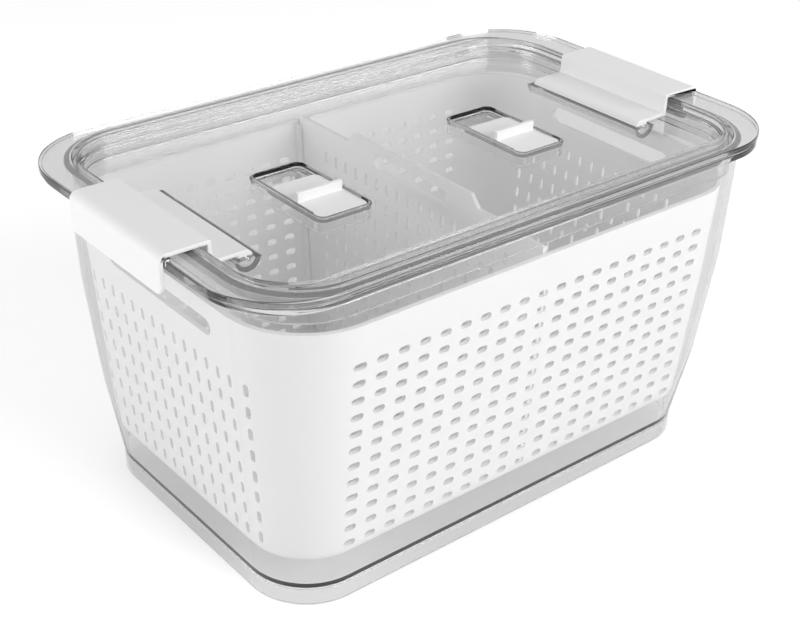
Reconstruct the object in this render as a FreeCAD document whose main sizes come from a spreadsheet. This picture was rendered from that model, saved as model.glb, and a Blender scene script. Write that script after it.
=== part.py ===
import FreeCAD, Part
import Sketcher
import math
import os
import re

os.makedirs("parts", exist_ok=True)
doc = FreeCAD.newDocument("produce_keeper")
vec = FreeCAD.Vector

# Sizes in millimetres. The origin is in the middle of the tub's foot and X runs along the long side
dimensions = {
    # Both flanges, and the tub below them: convex walls that draw in to a straight foot ring
    "rim_length": 297.0,  # outside of the lid's flange, long way
    "rim_width": 188.3,  # outside of the flanges, short way
    "rim_corner": 37.5,  # corner radius of the lid's flange
    "tub_rim_back": 2.0,  # how much shorter the tub's flange is at each end
    "tub_rim_level": 156.5,  # top of the tub's flange
    "tub_rim_thick": 2.8,  # thickness of the tub's flange
    "rim_out_long": 11.7,  # how far the flange stands out at the ends
    "rim_out_wide": 2.15,  # and at the long sides
    "neck_corner": 35.1,  # corner radius of the tub under its flange
    "high_level": 102.0,  # level of the upper wall section
    "high_in_long": 2.7,  # how far the wall has drawn in there at each end
    "high_in_wide": 1.3,  # and at each long side
    "high_corner": 33.0,  # corner radius there
    "low_level": 50.0,  # level of the lower wall section
    "low_in_long": 7.5,  # how far the wall has drawn in there at each end
    "low_in_wide": 6.0,  # and at each long side
    "low_corner": 30.6,  # corner radius there
    "foot_height": 8.4,  # level of the crease above the foot
    "foot_in": 12.6,  # how far the foot ring stands back from the neck
    "foot_corner": 29.0,  # corner radius of the foot ring
    "foot_wall": 2.6,  # thickness of the foot ring
    "crease_height": 1.1,  # height of the crease round the tub
    "crease_depth": 0.7,  # depth of the crease
    "tub_wall": 2.4,  # wall of the tub
    "tub_floor_thick": 2.8,  # floor of the tub

    # Lid: flange, two steps down to a sunk panel, plug skirt inside the tub
    "rim_gap": 0.3,  # gap between the two flanges
    "lid_rim_thick": 2.9,  # thickness of the lid's flange
    "lid_wall": 2.2,  # wall of the lid
    "step_down": 4.3,  # ledge below the top of the flange
    "panel_down": 9.2,  # sunk panel below the top of the flange
    "panel_thick": 2.4,  # thickness of the panel
    "well_in_long": 16.8,  # width of the flange at the ends, up to the sunk part
    "well_in_wide": 12.45,  # and at the long sides
    "well_corner": 26.0,  # corner radius of the sunk part
    "ledge_in": 1.8,  # width of the ledge
    "plug_gap": 0.9,  # gap between the plug skirt and the tub below its flange
    "plug_thick": 1.9,  # thickness of the plug skirt
    "plug_down": 15.2,  # lower edge of the plug skirt below the top

    # Vents: a walled opening in the panel with a deck that the slider runs on
    "vent_x": 56.2,  # middle of each vent from the middle of the lid
    "vent_length": 54.8,  # outside of a vent's wall along Y
    "vent_width": 28.8,  # outside of a vent's wall along X
    "vent_corner": 5.0,  # its corner radius
    "vent_wall": 1.4,  # thickness of a vent's wall
    "vent_deep": 9.0,  # depth of a vent's wall below the panel's top
    "deck_depth": 2.8,  # deck below the panel's top
    "deck_thick": 1.6,  # thickness of the deck
    "lip_over": 0.7,  # how far the lips reach over the slider
    "lip_thick": 0.6,  # thickness of the lips
    "lip_length": 40.0,  # length of the lips along Y
    "hole_length": 11.0,  # air hole along Y
    "hole_width": 21.0,  # air hole along X
    "hole_after": 1.2,  # from the open slider's end to the air hole

    # Sliders
    "slider_length": 37.8,  # slider plate along Y
    "slider_gap": 0.3,  # gap on each side of the slider
    "slider_stop": 0.6,  # gap in front of the slider when it is open
    "slider_lift": 0.2,  # gap between slider and deck
    "slider_thick": 1.7,  # thickness of the slider plate
    "rib_height": 4.4,  # height of the finger rib
    "rib_thick": 2.2,  # thickness of the finger rib

    # Latches: barrel in a trough of the lid, step up over the flange, skirt outside
    "latch_length": 37.9,  # from the latch axis to the face of its skirt
    "latch_width": 70.4,  # latch along Y
    "latch_thick": 1.8,  # thickness of a latch
    "face_out": 1.9,  # skirt face beyond the lid's flange
    "riser_in": 19.2,  # outer face of the latch's step inside the flanges' edge
    "barrel_radius": 4.0,  # hinge barrel of a latch
    "hinge_down": 1.9,  # latch axis below the panel's top
    "trough_gap": 0.3,  # gap between barrel and trough
    "trough_wall": 1.8,  # wall of the trough and its ends
    "pin_radius": 1.2,  # hinge pin at each end of a barrel
    "pin_length": 2.2,  # length of a hinge pin
    "pin_play": 0.05,  # radial play of a hinge pin in its hole
    "latch_lift": 0.3,  # gap between latch and lid
    "latch_round": 4.0,  # outer radius from top plate to skirt
    "skirt_deep": 15.4,  # lower edge of the skirt below the lid's top
    "bead_deep": 6.7,  # top of the catch bead below the lid's top
    "bead_high": 2.2,  # height of the catch bead
    "bead_out": 0.6,  # how far the catch bead stands out
    "catch_gap": 0.6,  # lid's flange cut back beside a latch
    "catch_in": 2.3,  # lid's flange cut back under a latch

    # Basket: drafted walls full of slots, hand holes at both ends, four feet
    "basket_leg": 13.5,  # height of the basket's feet
    "basket_under": 18.2,  # basket's edge below the tub's flange
    "basket_in_long": 13.8,  # how far its floor stands back from the neck at each end
    "basket_in_wide": 13.0,  # and at each long side
    "basket_low_corner": 26.0,  # corner radius at the floor
    "basket_slope": 0.0787,  # how much each wall leans out per millimetre of height
    "basket_wall": 2.0,  # wall and floor of the basket
    "basket_round": 6.0,  # radius round the basket's floor
    "foot_gap": 0.3,  # gap under the basket's feet
    "basket_foot_radius": 6.0,  # radius of a basket foot
    "basket_foot_x": 78.0,  # feet from the middle, long way
    "basket_foot_y": 40.0,  # feet from the middle, short way
    "hand_length": 79.0,  # hand hole along Y
    "hand_high": 8.0,  # hand hole height
    "hand_down": 12.1,  # middle of the hand hole below the basket's edge

    # Slots of the basket's long sides
    "long_pitch": 10.66,  # slot spacing
    "long_row_pitch": 8.1,  # row spacing
    "long_first": 5.4,  # lowest row above the basket's underside
    "long_margin": 26.0,  # first slot from the end of the basket's floor
    "long_top_margin": 15.0,  # least distance of a row from the basket's edge
    "long_slot_length": 5.8,  # slot along the wall
    "long_slot_high": 3.4,  # slot height

    # Divider: upright plate between two pairs of rails, raised grip in the middle
    "divider_thick": 2.0,  # thickness of the divider
    "divider_play": 0.3,  # play of the divider between rails, floor and walls
    "rail_thick": 1.6,  # thickness of a rail
    "rail_out": 3.0,  # how far the rails stand out from the wall
    "shoulder_up": 2.7,  # divider's edge above the basket's edge
    "grip_up": 5.4,  # top of the grip above that
    "grip_half": 41.0,  # half length of the grip
    "grip_slope": 5.0,  # run of the slope at each end of the grip
    "finger_length": 52.0,  # finger hole in the grip
    "finger_high": 7.0,  # its height
    "finger_down": 2.8,  # its middle below the divider's edge
}

# Sizes that follow from those above, so that what fits together stays together
following = {
    "neck_length": "rim_length - 2 * rim_out_long",
    "neck_width": "rim_width - 2 * rim_out_wide",
    "neck_level": "tub_rim_level - tub_rim_thick",
    "high_length": "neck_length - 2 * high_in_long",
    "high_width": "neck_width - 2 * high_in_wide",
    "low_length": "neck_length - 2 * low_in_long",
    "low_width": "neck_width - 2 * low_in_wide",
    "foot_length": "neck_length - 2 * foot_in",
    "foot_width": "neck_width - 2 * foot_in",
    "tub_floor_level": "foot_height + tub_floor_thick",
    "lid_under": "tub_rim_level + rim_gap",
    "lid_top": "lid_under + lid_rim_thick",
    "step_level": "lid_top - step_down",
    "panel_level": "lid_top - panel_down",
    "plug_level": "lid_top - plug_down",
    "well_length": "rim_length - 2 * well_in_long",
    "well_width": "rim_width - 2 * well_in_wide",
    "vent_level": "panel_level - vent_deep",
    "slider_front": "vent_length / 2 - vent_wall - slider_stop",
    "hole_start": "slider_length - slider_front + hole_after",
    "latch_face_x": "rim_length / 2 + face_out",
    "hinge_x": "latch_face_x - latch_length",
    "riser_x": "rim_length / 2 - riser_in",
    "hinge_level": "panel_level - hinge_down",
    "skirt_level": "lid_top - skirt_deep",
    "bead_level": "lid_top - bead_deep",
    "catch_width": "latch_width + 2 * catch_gap",
    "catch_x": "rim_length / 2 - catch_in",
    "basket_level": "tub_floor_level + foot_gap + basket_leg",
    "basket_top": "tub_rim_level - basket_under",
    "basket_low_length": "neck_length - 2 * basket_in_long",
    "basket_low_width": "neck_width - 2 * basket_in_wide",
    "hand_level": "basket_top - hand_down",
    "divider_shoulder": "basket_top + shoulder_up",
    "divider_grip": "divider_shoulder + grip_up",
    "finger_level": "divider_shoulder - finger_down",
}

sheet = doc.addObject("Spreadsheet::Sheet", "sizes")
cells = list(dimensions.items()) + [(alias, "=" + formula) for alias, formula in following.items()]
for row, (alias, content) in enumerate(cells, 1):
    sheet.set("A" + str(row), alias)
    sheet.set("B" + str(row), str(content))
    sheet.setAlias("B" + str(row), alias)
doc.recompute()


def val(alias):
    return float(sheet.get(alias))


def new_body(name):
    body = doc.addObject("PartDesign::Body", name)
    body.Label = name
    return body


def plane(body, role):
    for feature in body.Origin.OriginFeatures:
        if feature.Role == role:
            return feature


def new_sketch(body, name, role, offset):
    sketch = body.newObject("Sketcher::SketchObject", name)
    sketch.AttachmentSupport = [(plane(body, role), "")]
    sketch.MapMode = "FlatFace"
    sketch.setExpression(".AttachmentOffset.Base.z", offset)
    return sketch


def add_rounded(sketch, length, width, radius, tag="", mid=("", "")):
    """One rounded rectangle in a sketch: sizes and middle are formulas on the sheet."""
    long, wide, rad = (evaluate(sketch, f) for f in (length, width, radius))
    cx, cy = (evaluate(sketch, f) if f else 0.0 for f in mid)
    a, b = long / 2 - rad, wide / 2 - rad
    start = sketch.GeometryCount
    quarter = math.pi / 2
    corners = ((a, -b, -1), (a, b, 0), (-a, b, 1), (-a, -b, 2))
    edges = (((-a, -wide / 2), (a, -wide / 2)), ((long / 2, -b), (long / 2, b)),
             ((a, wide / 2), (-a, wide / 2)), ((-long / 2, b), (-long / 2, -b)))
    shapes = []
    for edge, (x_mid, y_mid, turn) in zip(edges, corners):
        p, q = (vec(cx + x, cy + y, 0) for x, y in edge)
        shapes.append(Part.LineSegment(p, q))
        circle = Part.Circle(vec(cx + x_mid, cy + y_mid, 0), vec(0, 0, 1), rad)
        shapes.append(Part.ArcOfCircle(circle, turn * quarter, (turn + 1) * quarter))
    sketch.addGeometry(shapes, False)
    for i in range(4):
        line, arc, after = start + 2 * i, start + 2 * i + 1, start + (2 * i + 2) % 8
        sketch.addConstraint(Sketcher.Constraint("Tangent", line, 2, arc, 1))
        sketch.addConstraint(Sketcher.Constraint("Tangent", arc, 2, after, 1))
        sketch.addConstraint(Sketcher.Constraint("Horizontal" if i % 2 == 0 else "Vertical", line))
        if i:
            sketch.addConstraint(Sketcher.Constraint("Equal", start + 1, arc))
    named(sketch, "DistanceX", (start + 6, 1, start + 2, 1, long), tag + "length", length)
    named(sketch, "DistanceY", (start + 0, 1, start + 4, 1, wide), tag + "width", width)
    named(sketch, "Radius", (start + 1, rad), tag + "radius", radius)
    if mid[0] or mid[1]:
        named(sketch, "DistanceX", (-1, 1, start + 1, 3, cx + a), tag + "reach_x",
              "(" + (mid[0] or "0") + ") + (" + length + ") / 2 - (" + radius + ")")
        named(sketch, "DistanceY", (-1, 1, start + 3, 3, cy + b), tag + "reach_y",
              "(" + (mid[1] or "0") + ") + (" + width + ") / 2 - (" + radius + ")")
    else:
        sketch.addConstraint(Sketcher.Constraint("Symmetric", start + 3, 3, start + 7, 3, -1, 1))


def evaluate(item, formula):
    return float(getattr(item.evalExpression(formula), "Value", item.evalExpression(formula)))


def named(sketch, kind, args, label, formula):
    index = sketch.addConstraint(Sketcher.Constraint(kind, *args))
    sketch.renameConstraint(index, label)
    sketch.setExpression("Constraints." + label, formula)


def on_sheet(formula):
    return re.sub(r"\b[a-z]\w*", r"sizes.\g<0>", formula)


def rounded(body, name, level, length, width, radius, mid=("", "")):
    sketch = new_sketch(body, name, "XY_Plane", on_sheet(level))
    middle = tuple(on_sheet(f) for f in mid)
    add_rounded(sketch, on_sheet(length), on_sheet(width), on_sheet(radius), "", middle)
    return sketch


def pad(body, name, sketch, length, add=True, upward=False, both=False):
    """Adds upward from the sketch, or cuts: downward unless told otherwise."""
    kind = "PartDesign::Pad" if add else "PartDesign::Pocket"
    feature = body.newObject(kind, name)
    feature.Profile = sketch
    feature.setExpression("Length", on_sheet(length))
    feature.Reversed = upward and not add
    if both:
        feature.Midplane = True
    sketch.Visibility = False
    return feature


def loft(body, name, sections, add=True, ruled=False):
    feature = body.newObject("PartDesign::AdditiveLoft" if add else "PartDesign::SubtractiveLoft", name)
    feature.Profile = sections[0]
    feature.Sections = sections[1:]
    feature.Ruled = ruled
    return feature


def edges_where(shape, test):
    return ["Edge" + str(i + 1) for i, edge in enumerate(shape.Edges) if test(edge)]


def fillet(body, name, base, test, radius, bevel=False):
    doc.recompute()
    feature = body.newObject("PartDesign::Chamfer" if bevel else "PartDesign::Fillet", name)
    feature.Base = (base, edges_where(base.Shape, test))
    feature.setExpression("Size" if bevel else "Radius", on_sheet(radius))
    return feature


def polygon(body, name, role, offset, points):
    """A closed outline whose corners are pairs of formulas on the sheet."""
    sketch = new_sketch(body, name, role, on_sheet(offset))
    spots = [tuple(evaluate(sketch, on_sheet(f)) for f in point) for point in points]
    count = len(spots)
    lines = [Part.LineSegment(vec(*spots[i], 0), vec(*spots[(i + 1) % count], 0)) for i in range(count)]
    sketch.addGeometry(lines, False)
    for i in range(count):
        sketch.addConstraint(Sketcher.Constraint("Coincident", i, 2, (i + 1) % count, 1))
        named(sketch, "DistanceX", (-1, 1, i, 1, spots[i][0]), "x" + str(i), on_sheet(points[i][0]))
        named(sketch, "DistanceY", (-1, 1, i, 1, spots[i][1]), "y" + str(i), on_sheet(points[i][1]))
    return sketch


def circle(body, name, role, offset, across, up, radius):
    sketch = new_sketch(body, name, role, on_sheet(offset))
    at = [evaluate(sketch, on_sheet(f)) for f in (across, up)]
    rad = evaluate(sketch, on_sheet(radius))
    sketch.addGeometry(Part.Circle(vec(*at, 0), vec(0, 0, 1), rad), False)
    named(sketch, "DistanceX", (-1, 1, 0, 3, at[0]), "across", on_sheet(across))
    named(sketch, "DistanceY", (-1, 1, 0, 3, at[1]), "up", on_sheet(up))
    named(sketch, "Radius", (0, rad), "radius", on_sheet(radius))
    return sketch


def flange_cuts(body):
    """The lid's flange stands back where a latch swings past it."""
    half = "((catch_in + 2) / 2)"
    for side in (-1, 1):
        middle = "{0} * (catch_x + {1})".format(side, half)
        corners = [("{0} + {1} * {2}".format(middle, u, half), "{0} * catch_width / 2".format(v))
                   for u, v in ((-1, -1), (1, -1), (1, 1), (-1, 1))]
        outline = polygon(body, "catch_outline", "XY_Plane", "lid_top", corners)
        pad(body, "catch_cut", outline, "lid_top - lid_under", add=False)


def make_tub():
    body = new_body("tub")
    foot = rounded(body, "foot_outline", "0", "foot_length", "foot_width", "foot_corner")
    pad(body, "foot", foot, "foot_height")
    crease = rounded(body, "crease_outline", "foot_height", "foot_length - 2 * crease_depth",
                     "foot_width - 2 * crease_depth", "foot_corner - crease_depth")
    pad(body, "crease", crease, "crease_height")
    levels = (("foot_height + crease_height", "foot_length", "foot_width", "foot_corner"),
              ("low_level", "low_length", "low_width", "low_corner"),
              ("high_level", "high_length", "high_width", "high_corner"),
              ("neck_level + 0.5", "neck_length", "neck_width", "neck_corner"))
    loft(body, "walls", [rounded(body, "wall_outline", *section) for section in levels], ruled=True)
    rim = rounded(body, "rim_outline", "neck_level", "rim_length - 2 * tub_rim_back", "rim_width",
                  "rim_corner - tub_rim_back")
    pad(body, "rim", rim, "tub_rim_thick")
    inner = [rounded(body, "inner_outline", "tub_floor_level", "foot_length - 2 * tub_wall",
                     "foot_width - 2 * tub_wall", "foot_corner - tub_wall")]
    for level, length, width, corner in levels[1:3]:
        inner.append(rounded(body, "inner_outline", level, length + " - 2 * tub_wall",
                             width + " - 2 * tub_wall", corner + " - tub_wall"))
    inner.append(rounded(body, "inner_outline", "tub_rim_level + 0.5", "neck_length + 0.2 - 2 * tub_wall",
                         "neck_width + 0.1 - 2 * tub_wall", "neck_corner - tub_wall"))
    loft(body, "cavity", inner, add=False, ruled=True)
    under = rounded(body, "under_outline", "0", "foot_length - 2 * foot_wall", "foot_width - 2 * foot_wall",
                    "foot_corner - foot_wall")
    pad(body, "underside", under, "foot_height", add=False, upward=True)
    return body


def make_lid():
    body = new_body("lid")
    rim = rounded(body, "rim_outline", "lid_under", "rim_length", "rim_width", "rim_corner")
    pad(body, "flange", rim, "lid_top - lid_under")
    less = " - 2 * (tub_wall + plug_gap)"
    corner = "neck_corner - tub_wall - plug_gap"
    plug = rounded(body, "plug_outline", "plug_level", "neck_length" + less, "neck_width" + less, corner)
    pad(body, "plug", plug, "lid_under - plug_level + 0.2")
    less += " - 2 * plug_thick"
    low_plug = rounded(body, "plug_inside", "plug_level", "neck_length" + less, "neck_width" + less,
                       corner + " - plug_thick")
    pad(body, "plug_space", low_plug, "lid_under - plug_level", add=False, upward=True)
    walls = rounded(body, "step_outline", "step_level - lid_wall", "well_length + 2 * lid_wall",
                    "well_width + 2 * lid_wall", "well_corner + lid_wall")
    pad(body, "step_walls", walls, "lid_under - step_level + lid_wall + 0.2")
    more = " + 2 * (lid_wall - ledge_in)"
    sunk = rounded(body, "sunk_outline", "panel_level - panel_thick", "well_length" + more,
                   "well_width" + more, "well_corner + lid_wall - ledge_in")
    pad(body, "sunk_walls", sunk, "step_level - panel_level + panel_thick - lid_wall + 0.1")
    for side in (-1, 1):
        trough_walls(body, side)
    well = rounded(body, "well_outline", "step_level", "well_length", "well_width", "well_corner")
    pad(body, "well", well, "lid_top - step_level + 1", add=False, upward=True)
    less = " - 2 * ledge_in"
    pan = rounded(body, "panel_outline", "panel_level", "well_length" + less, "well_width" + less,
                  "well_corner - ledge_in")
    pad(body, "panel", pan, "lid_top - panel_level + 1", add=False, upward=True)
    for side in (-1, 1):
        lid_vent(body, "{0} * vent_x".format(side))
        trough_space(body, side)
    flange_cuts(body)
    return body


def lid_vent(body, across):
    middle = (across, "0")
    outside = rounded(body, "vent_outline", "vent_level", "vent_width", "vent_length", "vent_corner", middle)
    pad(body, "vent_walls", outside, "panel_level - panel_thick - vent_level + 0.1")
    inside = ("vent_width - 2 * vent_wall", "vent_length - 2 * vent_wall", "vent_corner - vent_wall", middle)
    below = rounded(body, "vent_inside", "vent_level", *inside)
    deck_under = "panel_level - deck_depth - deck_thick"
    pad(body, "vent_space", below, deck_under + " - vent_level", add=False, upward=True)
    track = rounded(body, "track_outline", "panel_level", *inside)
    pad(body, "track", track, "deck_depth", add=False)
    for lip_side in (-1, 1):
        lip = "{0} + {1} * (vent_width / 2 - vent_wall - lip_over / 2 + 0.2)".format(across, lip_side)
        block(body, "lip", lip, "(lip_over / 2 + 0.2)", "lip_length / 2", "panel_level - lip_thick",
              "panel_level", add=True)
    hole = rounded(body, "air_outline", "panel_level - deck_depth", "hole_width", "hole_length", "2",
                   (across, "hole_start + hole_length / 2"))
    pad(body, "air_hole", hole, "deck_thick", add=False)


def trough_walls(body, side):
    axis = "{0} * hinge_x".format(side)
    outer = "(barrel_radius + trough_gap + trough_wall)"
    ends = "(latch_width / 2 + trough_gap + trough_wall)"
    round_bar(body, "trough", axis, outer, ends, add=True)


def trough_space(body, side):
    axis = "{0} * hinge_x".format(side)
    inner = "(barrel_radius + trough_gap)"
    space = "(latch_width / 2 + trough_gap)"
    round_bar(body, "trough_space", axis, inner, space, add=False)
    block(body, "trough_mouth", axis, inner, space, "hinge_level", "panel_level + 1", add=False)
    ends = "(latch_width / 2 + trough_gap + trough_wall)"
    round_bar(body, "pin_holes", axis, "(pin_radius + pin_play)", ends, add=False)


def block(body, name, middle, half_x, half_y, low, top, add):
    corners = [("{0} + {1} * {2}".format(middle, u, half_x), "{0} * {1}".format(v, half_y))
               for u, v in ((-1, -1), (1, -1), (1, 1), (-1, 1))]
    outline = polygon(body, name + "_outline", "XY_Plane", low, corners)
    return pad(body, name, outline, "({0}) - ({1})".format(top, low), add=add, upward=not add)


def round_bar(body, name, across, radius, half, add, level="hinge_level"):
    outline = circle(body, name + "_outline", "XZ_Plane", "0", across, level, radius)
    return pad(body, name, outline, "2 * " + half, add=add, both=True)


def make_slider(side):
    body = new_body("left_vent_slider" if side < 0 else "right_vent_slider")
    across = "{0} * vent_x".format(side)
    width = "(vent_width - 2 * vent_wall - 2 * slider_gap)"
    low = "panel_level - deck_depth + slider_lift"
    plate = rounded(body, "plate_outline", low, width, "slider_length",
                    "vent_corner - vent_wall - slider_gap", (across, "slider_length / 2 - slider_front"))
    pad(body, "plate", plate, "slider_thick")
    block_low = low + " + slider_thick - 0.2"
    corners = [("{0} + {1} * ({2} / 2 - lip_over - slider_gap)".format(across, u, width),
                "slider_length / 2 - slider_front + {0} * rib_thick / 2".format(v))
               for u, v in ((-1, -1), (1, -1), (1, 1), (-1, 1))]
    rib = polygon(body, "rib_outline", "XY_Plane", block_low, corners)
    pad(body, "rib", rib, "rib_height + 0.2")
    return body


def make_latch(side):
    body = new_body("left_latch" if side < 0 else "right_latch")
    plate_top = "hinge_level + barrel_radius"
    plate_low = "panel_level + latch_lift"
    top_low = "lid_top + latch_lift"
    top = top_low + " + latch_thick"
    inside = "latch_face_x - latch_thick"
    profile = (("hinge_x", plate_top), ("riser_x - latch_thick - 0.7", plate_top),
               ("riser_x - latch_thick", top), ("latch_face_x", top),
               ("latch_face_x", "skirt_level"), (inside, "skirt_level"),
               (inside, "bead_level - bead_high"),
               (inside + " - bead_out", "bead_level - bead_high / 2 - 0.3"),
               (inside + " - bead_out", "bead_level - 0.3"), (inside, "bead_level"),
               (inside, top_low), ("riser_x", top_low), ("riser_x", plate_low), ("hinge_x", plate_low))
    corners = [("{0} * ({1})".format(side, x), z) for x, z in profile]
    outline = polygon(body, "profile", "XZ_Plane", "0", corners)
    shell = pad(body, "shell", outline, "latch_width", both=True)
    axis = "{0} * hinge_x".format(side)
    round_bar(body, "barrel", axis, "barrel_radius", "(latch_width / 2)", add=True)
    pins = round_bar(body, "pins", axis, "pin_radius", "(latch_width / 2 + pin_length - 0.3)", add=True)
    far = val("latch_face_x")
    high = val("lid_top") + val("latch_lift") + val("latch_thick")
    near = val("riser_x") - val("latch_thick")
    plate = val("hinge_level") + val("barrel_radius")

    def along_at(edge, x, z):
        box = edge.BoundBox
        return box.YLength > 60 and abs(abs(box.Center.x) - x) < 0.05 and abs(box.Center.z - z) < 0.05

    def corner_of_skirt(edge):
        box = edge.BoundBox
        flat = box.YLength < 0.01 and box.ZLength < 0.01
        return flat and abs(box.Center.z - val("skirt_level")) < 0.01 and abs(box.Center.x) > far - 3

    outer = fillet(body, "outer_round", pins, lambda e: along_at(e, far, high), "latch_round")
    inner = fillet(body, "inner_round", outer, lambda e: along_at(e, near, high), "latch_thick / 2 + 0.3")
    fillet(body, "skirt_corners", inner, corner_of_skirt, "latch_round")
    return body


def spots(room, pitch):
    """Middles of as many slots as the room takes, spread to both sides of the middle."""
    number = int(room / val(pitch)) + 1
    return [(i - (number - 1) / 2) * val(pitch) for i in range(number)]


def levels(first, highest, pitch):
    """Rows from the lowest one up to the highest level allowed."""
    low = val("basket_level") + val(first)
    return [low + i * val(pitch) for i in range(int((highest - low) / val(pitch)) + 1)]


def long_side_boxes():
    length, high = val("long_slot_length"), val("long_slot_high")
    inward = val("basket_wall") + val("basket_slope") * high
    reach = inward + val("basket_wall")
    room = val("basket_low_length") - 2 * val("long_margin")
    for level in levels("long_first", val("basket_top") - val("long_top_margin"), "long_row_pitch"):
        wall = val("basket_low_width") / 2 + val("basket_slope") * (level - val("basket_level"))
        for across in spots(room, "long_pitch"):
            for near in (inward - wall - reach, wall - inward):
                yield (across - length / 2, near, level - high / 2), (length, reach, high)


def cut_slots(body, boxes):
    """Cuts bars of the slots' section, all in one compound, out of the walls."""
    bars = doc.addObject("Part::Feature", "slot_bars")
    bars.Shape = Part.makeCompound([Part.makeBox(*span, vec(*corner)) for corner, span in boxes])
    cut = doc.addObject("Part::Cut", "slotted_basket")
    cut.Base = body
    cut.Tool = bars
    return cut


def make_basket():
    body = new_body("basket_body")
    low = rounded(body, "low_outline", "basket_level", "basket_low_length", "basket_low_width",
                  "basket_low_corner")
    walls = pad(body, "walls", low, "basket_top - basket_level")
    walls.setExpression("TaperAngle", "atan(sizes.basket_slope)")
    at_floor = val("basket_level")
    fillet(body, "floor_round", walls, lambda edge: lies_flat(edge, at_floor), "basket_round")
    inside = rounded(body, "inner_outline", "basket_level + basket_wall",
                     basket_at("basket_level + basket_wall", "length") + " - 2 * basket_wall",
                     basket_at("basket_level + basket_wall", "width") + " - 2 * basket_wall",
                     "basket_low_corner - basket_wall")
    cavity = pad(body, "cavity", inside, "basket_top - basket_level", add=False, upward=True)
    cavity.setExpression("TaperAngle", "atan(sizes.basket_slope)")
    inner_floor = val("basket_level") + val("basket_wall")
    fillet(body, "inner_floor_bevel", cavity, lambda edge: lies_flat(edge, inner_floor),
           "basket_round - basket_wall", bevel=True)
    hand = new_sketch(body, "hand_outline", "YZ_Plane", "0")
    add_rounded(hand, on_sheet("hand_length"), on_sheet("hand_high"), on_sheet("hand_high / 2 - 0.01"), "",
                ("0", on_sheet("hand_level")))
    pad(body, "hand_holes", hand, "basket_low_length + 60", add=False, both=True)
    for u in (-1, 1):
        for v in (-1, 1):
            leg = circle(body, "leg_outline", "XY_Plane", "tub_floor_level + foot_gap",
                         "{0} * basket_foot_x".format(u), "{0} * basket_foot_y".format(v),
                         "basket_foot_radius")
            pad(body, "leg", leg, "basket_level - tub_floor_level - foot_gap + 0.5")
    rails(body)
    return cut_slots(body, long_side_boxes())


def basket_at(level, what):
    """Outside of the basket at a level, as a formula."""
    return "(basket_low_{0} + 2 * basket_slope * (({1}) - basket_level))".format(what, level)


def lies_flat(edge, level):
    box = edge.BoundBox
    return box.ZLength < 0.01 and abs(box.Center.z - level) < 0.01


def wall_half(level):
    return "({0} / 2 - basket_wall)".format(basket_at(level, "width"))


def rails(body):
    top_level = "basket_top - 2"
    for u in (-1, 1):
        for v in (-1, 1):
            across = "{0} * (divider_thick / 2 + divider_play + rail_thick / 2)".format(u)
            low, top = "basket_level + basket_wall / 2", top_level
            low_wall, top_wall = wall_half("basket_level"), wall_half(top_level)
            points = ((v, low_wall + " + basket_wall / 2", low), (v, top_wall + " + basket_wall / 2", top),
                      (v, top_wall + " - rail_out", top), (v, low_wall + " - rail_out", low))
            corners = [("{0} * ({1})".format(s, y), z) for s, y, z in points]
            outline = polygon(body, "rail_outline", "YZ_Plane", across + " - rail_thick / 2", corners)
            pad(body, "rail", outline, "rail_thick")


def make_divider():
    body = new_body("divider_body")
    bottom = "basket_level + basket_wall + divider_play"
    shoulder = "divider_shoulder"
    low_half = wall_half("basket_level") + " - divider_play - 0.2"
    top_half = wall_half("divider_shoulder") + " - divider_play - 0.4"
    right = [(low_half + " - basket_round", bottom), (low_half + " + 0.5", bottom + " + basket_round"),
             (top_half, shoulder), ("grip_half + grip_slope", shoulder), ("grip_half", "divider_grip")]
    left = [("-({0})".format(y), z) for y, z in reversed(right)]
    outline = polygon(body, "outline", "YZ_Plane", "-divider_thick / 2", right + left)
    pad(body, "plate", outline, "divider_thick")
    finger = new_sketch(body, "finger_outline", "YZ_Plane", "0")
    add_rounded(finger, on_sheet("finger_length"), on_sheet("finger_high"),
                on_sheet("finger_high / 2 - 0.01"), "", ("0", on_sheet("finger_level")))
    pad(body, "finger_hole", finger, "divider_thick * 3", add=False, both=True)
    return body


nodes = {"tub": make_tub(), "lid": make_lid()}
for side, word in ((-1, "left"), (1, "right")):
    nodes[word + "_vent_slider"] = make_slider(side)
    nodes[word + "_latch"] = make_latch(side)
nodes["basket"] = make_basket()
nodes["divider"] = make_divider()
doc.recompute()

for item in doc.Objects:
    if "Invalid" in item.State or "Error" in item.State:
        raise RuntimeError(item.Name + " did not build: " + str(item.State))
for name, item in nodes.items():
    item.Label = name
    if item.Shape.isNull() or not item.Shape.isValid() or item.Shape.Volume < 1:
        raise RuntimeError(name + " has no valid shape")
    volume = round(item.Shape.Volume / 1000, 1)
    print(name, len(item.Shape.Solids), "solid,", volume, "cm3", item.Shape.BoundBox)
    item.Shape.exportStep("parts/" + name + ".step")
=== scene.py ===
import math

import bmesh
import bpy
import numpy as np
from mathutils import Matrix, Vector


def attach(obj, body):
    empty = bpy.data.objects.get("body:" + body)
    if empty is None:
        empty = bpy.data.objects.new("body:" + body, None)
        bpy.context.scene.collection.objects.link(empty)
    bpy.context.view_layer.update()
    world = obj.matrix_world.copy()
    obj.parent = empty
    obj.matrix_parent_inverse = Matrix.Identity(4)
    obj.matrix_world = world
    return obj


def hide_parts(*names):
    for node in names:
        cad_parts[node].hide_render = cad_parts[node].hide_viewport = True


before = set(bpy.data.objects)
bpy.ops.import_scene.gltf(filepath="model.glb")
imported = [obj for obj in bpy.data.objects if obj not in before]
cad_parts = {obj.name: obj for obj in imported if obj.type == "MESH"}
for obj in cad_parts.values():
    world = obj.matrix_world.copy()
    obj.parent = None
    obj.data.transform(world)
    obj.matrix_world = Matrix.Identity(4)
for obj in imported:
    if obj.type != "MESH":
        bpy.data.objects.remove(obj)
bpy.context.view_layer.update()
mm = 0.001
tiny = 1e-6                 # two values closer than this are one
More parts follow.
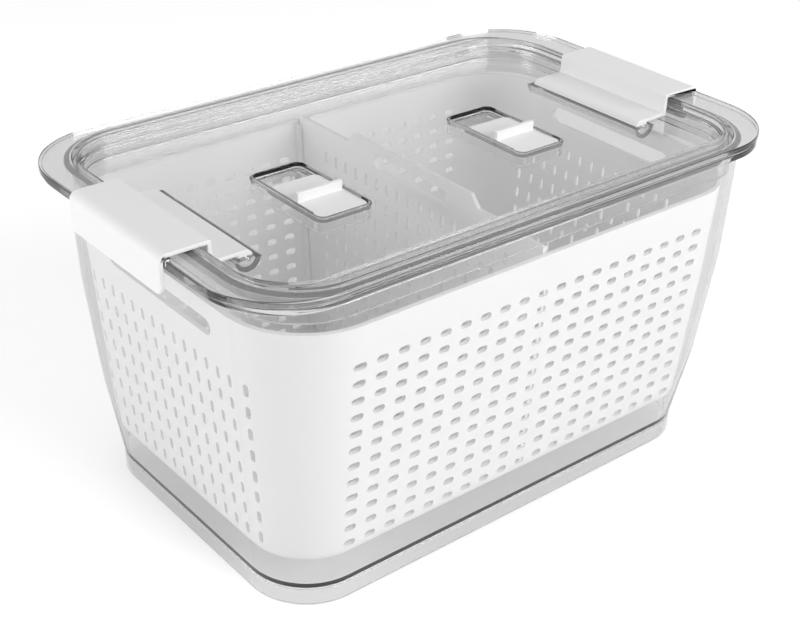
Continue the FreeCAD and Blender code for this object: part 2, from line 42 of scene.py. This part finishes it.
weld = 0.0005               # mm: points in one cell of this size become one
weldShift = 0.371           # keeps whole values off the border between two such cells
slotSteps = 4               # points along each side of a slot's cell
sharpAngle = 32             # degrees: a sheet stays smooth up to this bend


def slotCells(edgesU, edgesV, middlesU, middlesV, slot):
    # every cell is a ring of quads from its rectangle to a slot with half-round ends: a point of
    # the rectangle goes to the point of a circle in its direction, moved out to the slot's end
    k = slotSteps
    t = np.arange(k) / k
    box = np.concatenate([
        np.stack([2 * t - 1, -np.ones(k)], 1), np.stack([np.ones(k), 2 * t - 1], 1),
        np.stack([1 - 2 * t, np.ones(k)], 1), np.stack([-np.ones(k), 1 - 2 * t], 1)])
    wide, high = slot[0] / 2, slot[1] / 2
    radius = min(wide, high)
    angle = np.arctan2(box[:, 1], box[:, 0])
    hole = radius * np.stack([np.cos(angle), np.sin(angle)], 1)
    hole += np.sign(box.round(6)) * [wide - radius, high - radius]
    low = np.stack([part.ravel() for part in np.meshgrid(edgesU[:-1], edgesV[:-1])], 1)
    top = np.stack([part.ravel() for part in np.meshgrid(edgesU[1:], edgesV[1:])], 1)
    middles = np.stack([part.ravel() for part in np.meshgrid(middlesU, middlesV)], 1)
    outer = ((low + top) / 2)[:, None] + box[None] * ((top - low) / 2)[:, None]
    points = np.concatenate([outer, middles[:, None] + hole[None]], 1).reshape(-1, 2)
    i = np.arange(4 * k)
    j = (i + 1) % (4 * k)
    quads = np.stack([i, j, j + 4 * k, i + 4 * k], 1)
    faces = (quads[None] + (np.arange(len(middles)) * 8 * k)[:, None, None]).reshape(-1, 4)
    return points, faces


def plain(us, vs):
    # quads between every two neighbouring values of u and of v
    gridU, gridV = np.meshgrid(us, vs)
    n, rows = len(us), len(vs)
    i = (np.arange(n - 1)[None] + n * np.arange(rows - 1)[:, None]).ravel()
    points = np.stack([gridU.ravel(), gridV.ravel()], 1)
    return points, np.stack([i, i + 1, i + 1 + n, i + n], 1)


def zipped(u0, levels0, u1, levels1):
    # triangles between two upright lines whose points lie at different levels
    a, b = np.asarray(levels0, float), np.asarray(levels1, float)
    rise = np.concatenate([a[1:], b[1:]])
    fromA = np.concatenate([np.ones(len(a) - 1, bool), np.zeros(len(b) - 1, bool)])
    fromA = fromA[np.argsort(rise, kind="stable")]
    i = np.concatenate([[0], np.cumsum(fromA)])[:-1]
    j = np.concatenate([[0], np.cumsum(~fromA)])[:-1]
    n = len(a)
    third = np.where(fromA, i + 1, n + j + 1)
    points = np.concatenate([
        np.stack([np.full(n, u0), a], 1), np.stack([np.full(len(b), u1), b], 1)])
    tri = np.stack([i, n + j, third], 1)
    return points, np.concatenate([tri, tri[:, 2:]], 1)


def joined(patches):
    # patches of points and faces put in one list, with the face numbers moved on
    points, faces, start = [], [], 0
    for p, f in patches:
        points.append(p)
        faces.append(f + start)
        start += len(p)
    return np.concatenate(points), np.concatenate(faces)


def mirrored(patch):
    # the same patch on the other side of u = 0, with its faces turned round
    return patch[0] * [-1, 1], patch[1][:, ::-1]


def fitted(edges):
    # levels at every edge of the cells, with slotSteps between two cell edges
    steps = [np.linspace(a, b, slotSteps + 1)[:-1] for a, b in zip(edges[:-1], edges[1:])]
    return np.concatenate(steps + [[edges[-1]]])


def spread(count, pitch):
    # middles of so many slots, and the edges of their cells, on both sides of zero
    middles = (np.arange(count) - (count - 1) / 2) * pitch
    return middles, np.append(middles - pitch / 2, middles[-1] + pitch / 2)


def holeRing(us, levels, hole, middle):
    # one ring of quads from a rectangle to a long hole: its straight sides keep their share of
    # the width, and each half-round end takes the rectangle's points by their angle
    low, top, half = levels[0], levels[-1], us.max()
    n = len(levels) - 2
    rim = np.concatenate([
        np.stack([us, np.full(len(us), low)], 1),
        np.stack([np.full(n, half), levels[1:-1]], 1),
        np.stack([us[::-1], np.full(len(us), top)], 1),
        np.stack([np.full(n, -half), levels[1:-1][::-1]], 1)])
    wide, high = hole[0] / 2, hole[1] / 2
    rel = (rim - [0, (low + top) / 2]) / [half, (top - low) / 2]
    x = rel[:, 0] * wide
    reach = np.clip((np.abs(x) - (wide - high)) / high, 0, 1)
    side = np.abs(np.abs(rel[:, 0]) - 1) < tiny
    sweep = np.where(side, np.abs(rel[:, 1]) * math.pi / 4, math.pi / 2 - reach * math.pi / 4)
    tip = np.abs(x) > wide - high
    edge = np.stack([x, np.sign(rel[:, 1]) * high], 1)
    edge[tip, 0] = np.sign(x[tip]) * (wide - high + high * np.cos(sweep[tip]))
    edge[tip, 1] = np.sign(rel[tip, 1]) * high * np.sin(sweep[tip])
    i = np.arange(len(rim))
    j = (i + 1) % len(rim)
    points = np.concatenate([rim, edge + [0, middle]])
    return points, np.stack([i, j, j + len(rim), i + len(rim)], 1)


def prism(profile, low, high, axes=(0, 1, 2)):
    # a closed profile carried from low to high: quads round it, a fan of triangles on each end
    n = len(profile)
    middle = profile.mean(0)
    points = np.concatenate([
        np.column_stack([profile, np.full(n, low)]), np.column_stack([profile, np.full(n, high)]),
        [[*middle, low], [*middle, high]]])
    i = np.arange(n)
    j = (i + 1) % n
    faces = np.concatenate([
        np.stack([i, j, j + n, i + n], 1), np.stack([j, i, i * 0 + 2 * n, i * 0 + 2 * n], 1),
        np.stack([i + n, j + n, i * 0 + 2 * n + 1, i * 0 + 2 * n + 1], 1)])
    return points[:, list(axes)], faces


def placed(name, data):
    # a new object at the origin, linked to the scene
    made = bpy.data.objects.new(name, data)
    bpy.context.collection.objects.link(made)
    return made


def meshObject(name, points, faces):
    # points in mm, faces of three or four corners, where a repeated last corner marks a triangle
    cells = np.floor(points / weld + weldShift).astype(np.int64)
    _, first, back = np.unique(cells, axis=0, return_index=True, return_inverse=True)
    faces = back.ravel()[faces]
    isTri = faces[:, 2] == faces[:, 3]
    quads, tris = faces[~isTri], [faces[isTri][:, :3]]
    for corner in range(4):     # a quad with two corners in one place is a triangle
        flat = quads[:, corner] == quads[:, corner - 1]
        tris.append(np.delete(quads[flat], corner, 1))
        quads = quads[~flat]
    tris = np.concatenate(tris)
    tris = tris[(tris != np.roll(tris, -1, 1)).all(1)]
    mesh = bpy.data.meshes.new(name)
    mesh.from_pydata((points[first] * mm).tolist(), [], quads.tolist() + tris.tolist())
    mesh.validate()
    return placed(name, mesh)


def smooth(mesh):
    mesh.polygons.foreach_set("use_smooth", np.ones(len(mesh.polygons), bool))


def baked(made):
    # the modifiers become part of the mesh
    bpy.context.view_layer.update()
    graph = bpy.context.evaluated_depsgraph_get()
    made.data = bpy.data.meshes.new_from_object(made.evaluated_get(graph))
    made.modifiers.clear()
    return made


def solidified(made, thick):
    # a wall of even thickness behind the sheet, smooth up to the sharp angle
    shell = made.modifiers.new("thickness", "SOLIDIFY")
    shell.thickness = thick * mm
    shell.offset = -1.0
    baked(made)
    smooth(made.data)
    made.data.set_sharp_from_angle(angle=math.radians(sharpAngle))
    return made


def withExtras(made, patches):
    # closed pieces of the same moulding are added to a finished mesh
    points, faces = joined(patches)
    extra = meshObject("extra", points, faces)
    work = bmesh.new()
    work.from_mesh(made.data)
    work.from_mesh(extra.data)
    work.to_mesh(made.data)
    work.free()
    bpy.data.objects.remove(extra)
    made.data.set_sharp_from_angle(angle=math.radians(sharpAngle))
    return made


# Strainer basket, in mm: its walls lean out from the floor, and each corner turns round one point
basket = {
    "cornerX": 97.0,        # points that the corners turn round
    "cornerY": 53.0,
    "cornerRadius": 26.0,   # at the floor
    "floorLevel": 25.0,
    "topLevel": 138.3,
    "lean": 0.0787,         # outward per mm of height
    "floorRound": 2.5,      # arc from the floor into the walls
    "arcHeight": 0.8,       # height up to which the arc has rows of its own
    "arcSteps": (0.0, 0.12, 0.35, 0.6, 1.0),        # shares of that height
    "wall": 2.0,
    "rimBand": 7.0,         # plain band under the upper edge of the long walls
    "longSlot": (5.8, 3.4), "longPitch": (10.66, 8.1), "longCount": (19, 12), "longFirst": 30.4,
    "shortSlot": (2.4, 5.8), "shortPitch": (8.25, 10.6), "shortCount": (15, 8), "shortFirst": 33.0,
    "handHole": (79.0, 8.0), "handLevel": 126.2, "handCell": (92.0, 12.0),
    "floorSlot": (13.0, 4.0), "floorCount": (9, 7), "floorCells": (188.0, 100.0),
    "cornerSteps": 10,
    "cornerZip": 2.0,       # width of the strip where the two kinds of rows meet
    "legRadius": 6.0, "legPlace": (78.0, 40.0), "legFoot": 11.5, "legSteps": 32,
    "railThick": 1.6, "railOut": 3.0, "railMiddle": 2.1, "railLow": 26.0, "railTop": 136.3,
    "sunk": 1.0,            # how far feet and rails reach into the shell
}


def lift(z):
    # how far the wall has leaned out at a level: a straight lean above an arc at the floor
    radius, lean = basket["floorRound"], basket["lean"]
    slant = math.sqrt(1 + lean * lean)
    up = np.asarray(z, float) - basket["floorLevel"]
    arc = radius * (lean - slant) + np.sqrt(np.maximum(radius ** 2 - (radius - up) ** 2, 0))
    return np.where(up < radius * (1 - lean / slant), arc, up * lean)


def outline(u, arm):
    # rounded rectangle: a centre runs round the inner rectangle and an arm turns at its corners
    cx, cy, turn = basket["cornerX"], basket["cornerY"], basket["cornerRadius"] * math.pi / 2
    legs = np.array([cx, turn, 2 * cy, turn, 2 * cx, turn, 2 * cy, turn, cx])
    knots = np.concatenate([[0.0], np.cumsum(legs)])
    centreX = np.array([0, cx, cx, cx, cx, -cx, -cx, -cx, -cx, 0.0])
    centreY = np.array([-cy, -cy, -cy, cy, cy, cy, cy, -cy, -cy, -cy])
    angle = np.array([-1, -1, 0, 0, 1, 1, 2, 2, 3, 3]) * math.pi / 2
    at = np.mod(u, knots[-1])
    phi = np.interp(at, knots, angle)
    x = np.interp(at, knots, centreX) + arm * np.cos(phi)
    return x, np.interp(at, knots, centreY) + arm * np.sin(phi)


def layout():
    # where along the outline the four slotted sides and the corners between them begin
    b = basket
    long = spread(b["longCount"][0], b["longPitch"][0])
    short = spread(b["shortCount"][0], b["shortPitch"][0])
    quarter = b["cornerX"] + b["cornerRadius"] * math.pi / 2 + b["cornerY"]
    gap = quarter - long[1][-1] - short[1][-1]
    corner = np.append(np.linspace(0, gap - b["cornerZip"], b["cornerSteps"] + 1), gap)
    return {"long": long, "short": short, "quarter": quarter, "gap": gap, "corner": corner,
            "round": 2 * quarter, "low": b["floorLevel"] + b["arcHeight"]}


def slotRows(kind):
    # middles of the rows of slots in a wall, and the edges of their cells
    pitch = basket[kind + "Pitch"][1]
    rows = basket[kind + "First"] + pitch * np.arange(basket[kind + "Count"][1])
    return rows, np.append(rows, rows[-1] + pitch) - pitch / 2


def wallPatches(place):
    # flat sides with their slots, then the four corners that zip the two kinds of rows together
    b, low, top = basket, place["low"], basket["topLevel"]
    longU, shortU = fitted(place["long"][1]), fitted(place["short"][1])
    longRows, longEdges = slotRows("long")
    longV = np.concatenate([[low], fitted(longEdges), [top - b["rimBand"], top]])
    shortRows, shortEdges = slotRows("short")
    handLow, handTop = b["handLevel"] - b["handCell"][1] / 2, b["handLevel"] + b["handCell"][1] / 2
    shortV = np.concatenate([[low], fitted(shortEdges), fitted([handLow, handTop]), [top]])
    inside = shortU[np.abs(shortU) <= b["handCell"][0] / 2]
    beside = plain(shortU[shortU >= inside.max() - tiny], fitted([handLow, handTop]))

    longSide = joined([
        plain(longU, [low, longEdges[0]]),
        slotCells(place["long"][1], longEdges, place["long"][0], longRows, b["longSlot"]),
        plain(longU, [longEdges[-1], top - b["rimBand"], top])])
    shortSide = joined([
        plain(shortU, [low, shortEdges[0]]),
        slotCells(place["short"][1], shortEdges, place["short"][0], shortRows, b["shortSlot"]),
        plain(shortU, [shortEdges[-1], handLow]),
        holeRing(inside, fitted([handLow, handTop]), b["handHole"], b["handLevel"]),
        beside, mirrored(beside),
        plain(shortU, [handTop, top])])
    corner = joined([plain(place["corner"][:-1], longV),
                     zipped(place["corner"][-2], longV, place["gap"], shortV)])
    backCorner = mirrored(corner)
    patches = []
    for start in (0, place["round"]):
        shortEnd = start + place["quarter"] + shortU[-1]
        patches += [
            (longSide[0] + [start, 0], longSide[1]),
            (corner[0] + [start + longU[-1], 0], corner[1]),
            (shortSide[0] + [start + place["quarter"], 0], shortSide[1]),
            (backCorner[0] + [shortEnd + place["gap"], 0], backCorner[1])]
    return joined(patches)


def onWall(patch):
    # u runs along the outline, and the arm is as long as the corner's radius and the lean
    u, z = patch[0][:, 0], patch[0][:, 1]
    x, y = outline(u, basket["cornerRadius"] + lift(z))
    return np.stack([x, y, z], 1), patch[1]


def onFloor(points):
    return np.column_stack([points, np.full(len(points), basket["floorLevel"])])


def floorPatches(place):
    # the arc under the walls, a flat band, a slotted rectangle in the middle, and what joins them
    b = basket
    longU, shortU, turned = fitted(place["long"][1]), fitted(place["short"][1]), place["corner"]
    us = np.concatenate([
        part + start for start in (0, place["round"])
        for part in (longU, longU[-1] + turned, shortU + place["quarter"],
                     place["quarter"] + shortU[-1] + place["gap"] - turned[::-1])])
    us = np.unique(us.round(6))
    arm = b["cornerRadius"] + float(lift(b["floorLevel"]))
    levels = b["floorLevel"] + (place["low"] - b["floorLevel"]) * np.array(b["arcSteps"])
    arc = onWall(plain(us, levels))
    points, faces = plain(us, np.array([0.0, arm * 0.5, arm]))
    band = (onFloor(np.stack(outline(points[:, 0], points[:, 1]), 1)), faces)
    cells = [np.linspace(-size / 2, size / 2, count + 1)
             for size, count in zip(b["floorCells"], b["floorCount"])]
    middles = [(edges[1:] + edges[:-1]) / 2 for edges in cells]
    points, faces = slotCells(*cells, *middles, b["floorSlot"])
    patches = [arc, band, (onFloor(points), faces[:, ::-1])]
    full, corner = 2 * place["round"], (b["cornerX"], b["cornerY"])
    for side in range(4):       # from the slotted rectangle out to the band
        along, across = (0, 1) if side % 2 == 0 else (1, 0)
        reach, depth = corner[along], corner[across]
        cut, near = b["floorCells"][along] / 2, b["floorCells"][across] / 2
        centre = (side // 2) * place["round"] + (side % 2) * place["quarter"]
        rel = np.mod(us - centre + full / 2, full) - full / 2
        outer = np.concatenate([[-reach], rel[np.abs(rel) <= reach + tiny], [reach]])
        inner = fitted(cells[along])
        p, f = zipped(0.0, inner * (reach / cut), 1.0, np.unique(outer.round(6)))
        sideways = np.where(p[:, 0] > 0.5, p[:, 1], p[:, 1] * (cut / reach))
        away = near + (depth - near) * p[:, 0]
        turn = side * math.pi / 2
        x = sideways * math.cos(turn) + away * math.sin(turn)
        y = sideways * math.sin(turn) - away * math.cos(turn)
        patches.append((onFloor(np.stack([x, y], 1)), f))
    return joined(patches)


def basketExtras():
    # four round feet, and the two pairs of rails that hold the divider
    b = basket
    angle = np.arange(b["legSteps"]) * 2 * math.pi / b["legSteps"]
    ring = b["legRadius"] * np.stack([np.cos(angle), np.sin(angle)], 1)
    legTop = b["floorLevel"] + b["sunk"]
    patches = [prism(ring + [u * b["legPlace"][0], v * b["legPlace"][1]], b["legFoot"], legTop)
               for u in (-1, 1) for v in (-1, 1)]
    half = b["cornerY"] + b["cornerRadius"] - b["wall"]
    levels = np.array([b["railLow"], b["railTop"]])
    wall = half + b["lean"] * (levels - b["floorLevel"])
    rail = np.array([[wall[0] - b["railOut"], levels[0]], [wall[0] + b["sunk"], levels[0]],
                     [wall[1] + b["sunk"], levels[1]], [wall[1] - b["railOut"], levels[1]]])
    for u in (-1, 1):
        start, end = (u * b["railMiddle"] + side * b["railThick"] / 2 for side in (-1, 1))
        for profile in (rail, (rail * [-1, 1])[::-1]):
            patches.append(prism(profile, start, end, (2, 0, 1)))
    return patches


def makeBasket():
    place = layout()
    points, faces = joined([onWall(wallPatches(place)), floorPatches(place)])
    shell = solidified(meshObject("strainerBasket", points, faces), basket["wall"])
    return withExtras(shell, basketExtras())


# Divider, in mm: an upright plate with its own slots and a raised grip over a finger hole
divider = {
    "thick": 2.0,
    "bottom": 27.3, "shoulder": 141.0, "grip": 146.4,
    "gripHalf": 41.0, "gripSlope": 5.0,
    "footHalf": 70.5, "cornerHalf": 77.0, "cornerRise": 6.0, "topHalf": 85.4,
    "slot": (2.4, 5.8), "pitch": (7.85, 10.6), "count": (17, 10), "first": 31.1,
    "finger": (52.0, 7.0), "fingerLevel": 138.2,
    "ringLevels": (133.0, 135.75, 138.5, 141.0, 144.0),
    "ringColumn": -5,       # edge of the slot columns where the ring round the finger hole ends
}


def makeDivider():
    # flat patches in y and z: slots, side strips, the band under the grip, the grip round its hole
    d = divider
    middles, edgesU = spread(d["count"][0], d["pitch"][0])
    rows = d["first"] + d["pitch"][1] * np.arange(d["count"][1])
    edgesV = np.append(d["bottom"], rows + d["pitch"][1] / 2)
    columns, levels = fitted(edgesU), np.array(d["ringLevels"])
    ringHalf, foot = edgesU[d["ringColumn"]], d["gripHalf"] + d["gripSlope"]
    inside = columns[np.abs(columns) <= ringHalf + tiny]
    outside = columns[columns >= ringHalf - tiny]
    nearest = outside[np.argmin(np.abs(outside - foot))]
    moved = np.interp(outside, [ringHalf, nearest, edgesU[-1]], [ringHalf, foot, edgesU[-1]])
    lowLevels, topLevels = levels[levels <= d["shoulder"]], levels[levels >= d["shoulder"]]

    band = plain(outside, [edgesV[-1], levels[0]])
    band[0][len(outside):, 0] = moved
    strip = plain(np.array([0.0, 1.0]), np.concatenate([fitted(edgesV), lowLevels]))
    sideLevels = [d["bottom"], d["bottom"] + d["cornerRise"], d["shoulder"]]
    outer = np.interp(strip[0][:, 1], sideLevels, [d["footHalf"], d["cornerHalf"], d["topHalf"]])
    strip[0][:, 0] = edgesU[-1] + strip[0][:, 0] * (outer - edgesU[-1])
    cheek = plain(moved[moved <= foot + tiny], np.append(topLevels, d["grip"]))
    share = (d["grip"] - cheek[0][:, 1]) / (d["grip"] - d["shoulder"])
    squeeze = (d["gripHalf"] + d["gripSlope"] * share - ringHalf) / (foot - ringHalf)
    cheek[0][:, 0] = ringHalf + (cheek[0][:, 0] - ringHalf) * squeeze
    half = [band, plain(moved, lowLevels), strip, cheek]
    points, faces = joined([
        slotCells(edgesU, edgesV, middles, rows, d["slot"]),
        plain(inside, [edgesV[-1], levels[0]]),
        holeRing(inside, levels, d["finger"], d["fingerLevel"]),
        plain(inside, [levels[-1], d["grip"]])] + half + [mirrored(patch) for patch in half])
    points = np.column_stack([np.full(len(points), d["thick"] / 2), points])
    return solidified(meshObject("slottedDivider", points, faces), d["thick"])


# Moulded edges of the solids, in mm: the radius, the radius below a level, and that level. The
# larger one on the lid is the full round under the walls of its vents.
rounding = {
    "tub": (0.4, 0.4, 0.0),
    "lid": (0.4, 0.65, 142.0),
    "latch": (0.5, 0.5, 0.0),
    "slider": (0.3, 0.3, 0.0),
}
edges = {
    "merge": 1e-6,          # m: corners closer than this are one
    "flat": 0.5,            # degrees: triangles that bend less than this are joined
    "bend": 25,             # degrees: an edge that bends more than this is rounded
    "segments": 3,
}


def roundedCopy(name, nodeName, radius, lowRadius, level):
    # copy of a CAD solid: doubles merged, flat triangles joined, sharp edges rounded
    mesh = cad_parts[nodeName].data.copy()
    work = bmesh.new()
    work.from_mesh(mesh)
    bmesh.ops.remove_doubles(work, verts=work.verts, dist=edges["merge"])
    bmesh.ops.dissolve_limit(work, angle_limit=math.radians(edges["flat"]), verts=work.verts,
                             edges=work.edges)
    weight = work.edges.layers.float.new("bevel_weight_edge")
    for edge in work.edges:
        if edge.calc_face_angle(0.0) > math.radians(edges["bend"]):
            isLow = max(corner.co.z for corner in edge.verts) < level * mm
            edge[weight] = 1.0 if isLow else radius / lowRadius
    work.to_mesh(mesh)
    work.free()
    if mesh.has_custom_normals:     # those of the CAD mesh don't fit the rounded edges
        mesh.attributes.remove(mesh.attributes["custom_normal"])
    mesh.name = name
    made = placed(name, mesh)
    smooth(mesh)
    bevel = made.modifiers.new("edges", "BEVEL")
    bevel.width = lowRadius * mm
    bevel.segments = edges["segments"]
    bevel.limit_method = "WEIGHT"
    bevel.use_clamp_overlap = False
    bevel.harden_normals = True
    return baked(made)


def nodeWith(nt, kind, settings=None, links=None):
    # adds a node, sets its sockets or properties, and links its inputs
    node = nt.nodes.new(kind)
    for key, value in (settings or {}).items():
        if isinstance(key, int) or key in node.inputs:
            node.inputs[key].default_value = value
        else:
            setattr(node, key, value)
    for key, source in (links or {}).items():
        nt.links.new(source, node.inputs[key])
    return node


def linear(hexCode):
    # sRGB hex to the linear colour that a shader socket takes
    channel = np.array([int(hexCode[i:i + 2], 16) / 255 for i in (0, 2, 4)])
    lin = np.where(channel <= 0.04045, channel / 12.92, ((channel + 0.055) / 1.055) ** 2.4)
    return (*lin.tolist(), 1.0)


def newMaterial(name):
    material = bpy.data.materials.new(name)
    material.use_nodes = True
    material.node_tree.nodes.clear()
    return material, material.node_tree


def noise(nt, pitch, detail):
    # noise on the piece's own coordinates, which repeats about every so many mm
    place = nodeWith(nt, "ShaderNodeTexCoord")
    return nodeWith(nt, "ShaderNodeTexNoise", {"Scale": round(1 / (pitch * mm)), "Detail": detail},
                    {"Vector": place.outputs["Object"]}).outputs[0]


styrene = {
    "index": 1.57,
    "scuffPitch": 6.25, "scuffDetail": 4.0,         # mm
    "roughest": 0.012,      # polished mould: nearly no blur, a little more where it is scuffed
    "edgewise": "B8B8B8",   # grey that the plastic takes on along a long way through it
}


def clearStyrene(name, tint, shadowTint, density):
    # clear styrene copolymer, injection moulded and polished: glossy with faint scuffs, and grey
    # where it is seen edgewise
    s = styrene
    material, nt = newMaterial(name)
    rough = nodeWith(nt, "ShaderNodeMapRange", {3: 0.0, 4: s["roughest"]},
                     {0: noise(nt, s["scuffPitch"], s["scuffDetail"])})
    glass = nodeWith(nt, "ShaderNodeBsdfPrincipled", {
        "Base Color": linear(tint), "IOR": s["index"], "Transmission Weight": 1.0},
        {"Roughness": rough.outputs[0]})
    through = nodeWith(nt, "ShaderNodeBsdfTransparent", {"Color": linear(shadowTint)})
    path = nodeWith(nt, "ShaderNodeLightPath")
    lamps = nodeWith(nt, "ShaderNodeMath", {"operation": "MAXIMUM"},
                     {0: path.outputs["Is Shadow Ray"], 1: path.outputs["Is Diffuse Ray"]})
    mix = nodeWith(nt, "ShaderNodeMixShader", {},
                   {0: lamps.outputs[0], 1: glass.outputs[0], 2: through.outputs[0]})
    absorb = nodeWith(nt, "ShaderNodeVolumeAbsorption",
                      {"Color": linear(s["edgewise"]), "Density": density})
    nodeWith(nt, "ShaderNodeOutputMaterial", {},
             {"Surface": mix.outputs[0], "Volume": absorb.outputs[0]})
    return material


polypropylene = {
    "index": 1.49,
    "grainPitch": 1.111, "grainDetail": 3.0,        # mm: etched grain, drawn coarse enough to show
    "grainDepth": 0.2, "grainStrength": 0.06,
    "flowPitch": 28.6, "flowDetail": 2.0,           # mm: the melt's flow changes the gloss a little
    "glossSpread": 0.05,
    "milk": 0.15, "milkDepth": 2.0,                 # share and reach in mm of light under the skin
}


def whitePolypropylene(name, colour, roughness):
    # white polypropylene, injection moulded: satin, slightly milky, with a fine etched grain
    p = polypropylene
    material, nt = newMaterial(name)
    bump = nodeWith(nt, "ShaderNodeBump",
                    {"Strength": p["grainStrength"], "Distance": p["grainDepth"] * mm},
                    {"Height": noise(nt, p["grainPitch"], p["grainDetail"])})
    rough = nodeWith(nt, "ShaderNodeMapRange",
                     {3: roughness - p["glossSpread"], 4: roughness + p["glossSpread"]},
                     {0: noise(nt, p["flowPitch"], p["flowDetail"])})
    plastic = nodeWith(nt, "ShaderNodeBsdfPrincipled", {
        "Base Color": linear(colour), "IOR": p["index"], "Subsurface Weight": p["milk"],
        "Subsurface Radius": (p["milkDepth"] * mm,) * 3, "Subsurface Scale": 1.0},
        {"Normal": bump.outputs[0], "Roughness": rough.outputs[0]})
    nodeWith(nt, "ShaderNodeOutputMaterial", {}, {"Surface": plastic.outputs[0]})
    return material


finishes = {
    "tub": clearStyrene("clearTub", "FBFBFB", "FDFDFD", 22.0),
    "lid": clearStyrene("clearLid", "FBFBFB", "FDFDFD", 66.0),
    "latch": whitePolypropylene("whiteLatch", "F1F1F1", 0.35),
    "slider": whitePolypropylene("whiteSlider", "F0F0F0", 0.35),
    "basket": whitePolypropylene("whiteBasket", "F8F8F8", 0.42),
    "divider": whitePolypropylene("whiteDivider", "F4F4F4", 0.42),
}


def kindOf(nodeName):
    # the last finish that the name holds, since "lid" is also in "slider"
    return next(kind for kind in reversed(finishes) if kind in nodeName)


for nodeName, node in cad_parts.items():
    for materialSlot in node.material_slots:
        materialSlot.material = finishes[kindOf(nodeName)]
print("materials on the CAD nodes")


def show(made, body, nodeName):
    # the finished look takes its material, rides with its body and stands in for the CAD node
    kind = kindOf(nodeName)
    made.data.materials.clear()
    made.data.materials.append(finishes[kind])
    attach(made, body)
    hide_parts(nodeName)
    print(made.name, len(made.data.polygons), "faces")


show(makeBasket(), "container", "basket")
show(makeDivider(), "container", "divider")
for name, nodeName, body in (
        ("roundedTub", "tub", "container"), ("roundedLid", "lid", "container"),
        ("roundedLeftLatch", "left_latch", "left_latch_body"),
        ("roundedRightLatch", "right_latch", "right_latch_body"),
        ("roundedLeftSlider", "left_vent_slider", "left_slider_body"),
        ("roundedRightSlider", "right_vent_slider", "right_slider_body")):
    show(roundedCopy(name, nodeName, *rounding[kindOf(nodeName)]), body, nodeName)


light = {
    "sky": 0.42,            # strength of the soft light all round
    "floorGlow": 0.47,      # adds up with the light on the floor to a white background
    "throughGlow": 0.32,    # share of that glow which is seen through clear plastic
    "floorTone": "E6E6E6", "floorHalf": 6.0,
    # place, target, size in m, and watts
    "front": ((0.52, -1.38, 0.78), (0, 0, 0.08), (1.3, 0.7), 19),
    "left": ((-1.35, 0.45, 0.40), (0, 0, 0.08), (1.0, 0.6), 10),
    "top": ((0.10, 0.20, 1.60), (0, 0, 0.08), (1.6, 1.2), 1),
}
white = (1, 1, 1, 1)


def seenDirectly(nt, through):
    # 1 for rays from the camera or off a shiny surface, "through" for those through a clear one
    path = nodeWith(nt, "ShaderNodeLightPath")
    first = nodeWith(nt, "ShaderNodeMath", {"operation": "MAXIMUM"},
                     {0: path.outputs["Is Camera Ray"], 1: path.outputs["Is Glossy Ray"]})
    return nodeWith(nt, "ShaderNodeMix", {3: through},
                    {0: path.outputs["Is Transmission Ray"], 2: first.outputs[0]}).outputs[0]


def makeFloor():
    half = light["floorHalf"]
    mesh = bpy.data.meshes.new("floor")
    corners = [(-half, -half, 0), (half, -half, 0), (half, half, 0), (-half, half, 0)]
    mesh.from_pydata(corners, [], [(0, 1, 2, 3)])
    floor = placed("floor", mesh)
    material, nt = newMaterial("paleFloor")
    strength = nodeWith(nt, "ShaderNodeMath", {"operation": "MULTIPLY", 1: light["floorGlow"]},
                        {0: seenDirectly(nt, light["throughGlow"])})
    matt = nodeWith(nt, "ShaderNodeBsdfDiffuse", {"Color": linear(light["floorTone"])})
    glow = nodeWith(nt, "ShaderNodeEmission", {"Color": white}, {"Strength": strength.outputs[0]})
    both = nodeWith(nt, "ShaderNodeAddShader", {}, {0: matt.outputs[0], 1: glow.outputs[0]})
    nodeWith(nt, "ShaderNodeOutputMaterial", {}, {"Surface": both.outputs[0]})
    mesh.materials.append(material)


def makeSky():
    # soft light all round, and white where the camera, a reflection or a clear wall sees it
    world = bpy.data.worlds.new("studio")
    bpy.context.scene.world = world
    world.use_nodes = True
    nt = world.node_tree
    nt.nodes.clear()
    soft, bright = (nodeWith(nt, "ShaderNodeBackground", {"Color": white, "Strength": strength})
                    for strength in (light["sky"], 1.0))
    mix = nodeWith(nt, "ShaderNodeMixShader", {},
                   {0: seenDirectly(nt, 1.0), 1: soft.outputs[0], 2: bright.outputs[0]})
    nodeWith(nt, "ShaderNodeOutputWorld", {}, {"Surface": mix.outputs[0]})


def areaLamp(name, place, target, size, power):
    data = bpy.data.lights.new(name, "AREA")
    data.shape = "RECTANGLE"
    data.size, data.size_y = size
    data.energy = power
    lamp = placed(name, data)
    lamp.location = place
    lamp.rotation_euler = (Vector(target) - Vector(place)).to_track_quat("-Z", "Y").to_euler()
    lamp.visible_camera = False


makeFloor()
makeSky()
for name in ("front", "left", "top"):
    areaLamp(name + "Light", *light[name])
print("floor, sky and lamps")

view = {
    "place": (-0.38324, -0.45564, 0.41021),         # m
    "right": (0.77675, -0.62943, 0.02176),          # directions of the picture
    "up": (0.29882, 0.39873, 0.86702),
    "ahead": (0.55441, 0.66695, -0.4978),
    "sensor": 36.0, "lens": 64.95,                  # mm
    "nearest": 0.01, "farthest": 50.0,              # m
}
camera = placed("camera", bpy.data.cameras.new("camera"))
turn = Matrix((Vector(view["right"]), Vector(view["up"]), -Vector(view["ahead"])))
camera.matrix_world = Matrix.Translation(view["place"]) @ turn.transposed().to_4x4()
camera.data.sensor_width = view["sensor"]
camera.data.lens = view["lens"]
camera.data.clip_start, camera.data.clip_end = view["nearest"], view["farthest"]
bpy.context.scene.camera = camera
print("camera")

bpy.context.scene.view_settings.view_transform = "Standard"
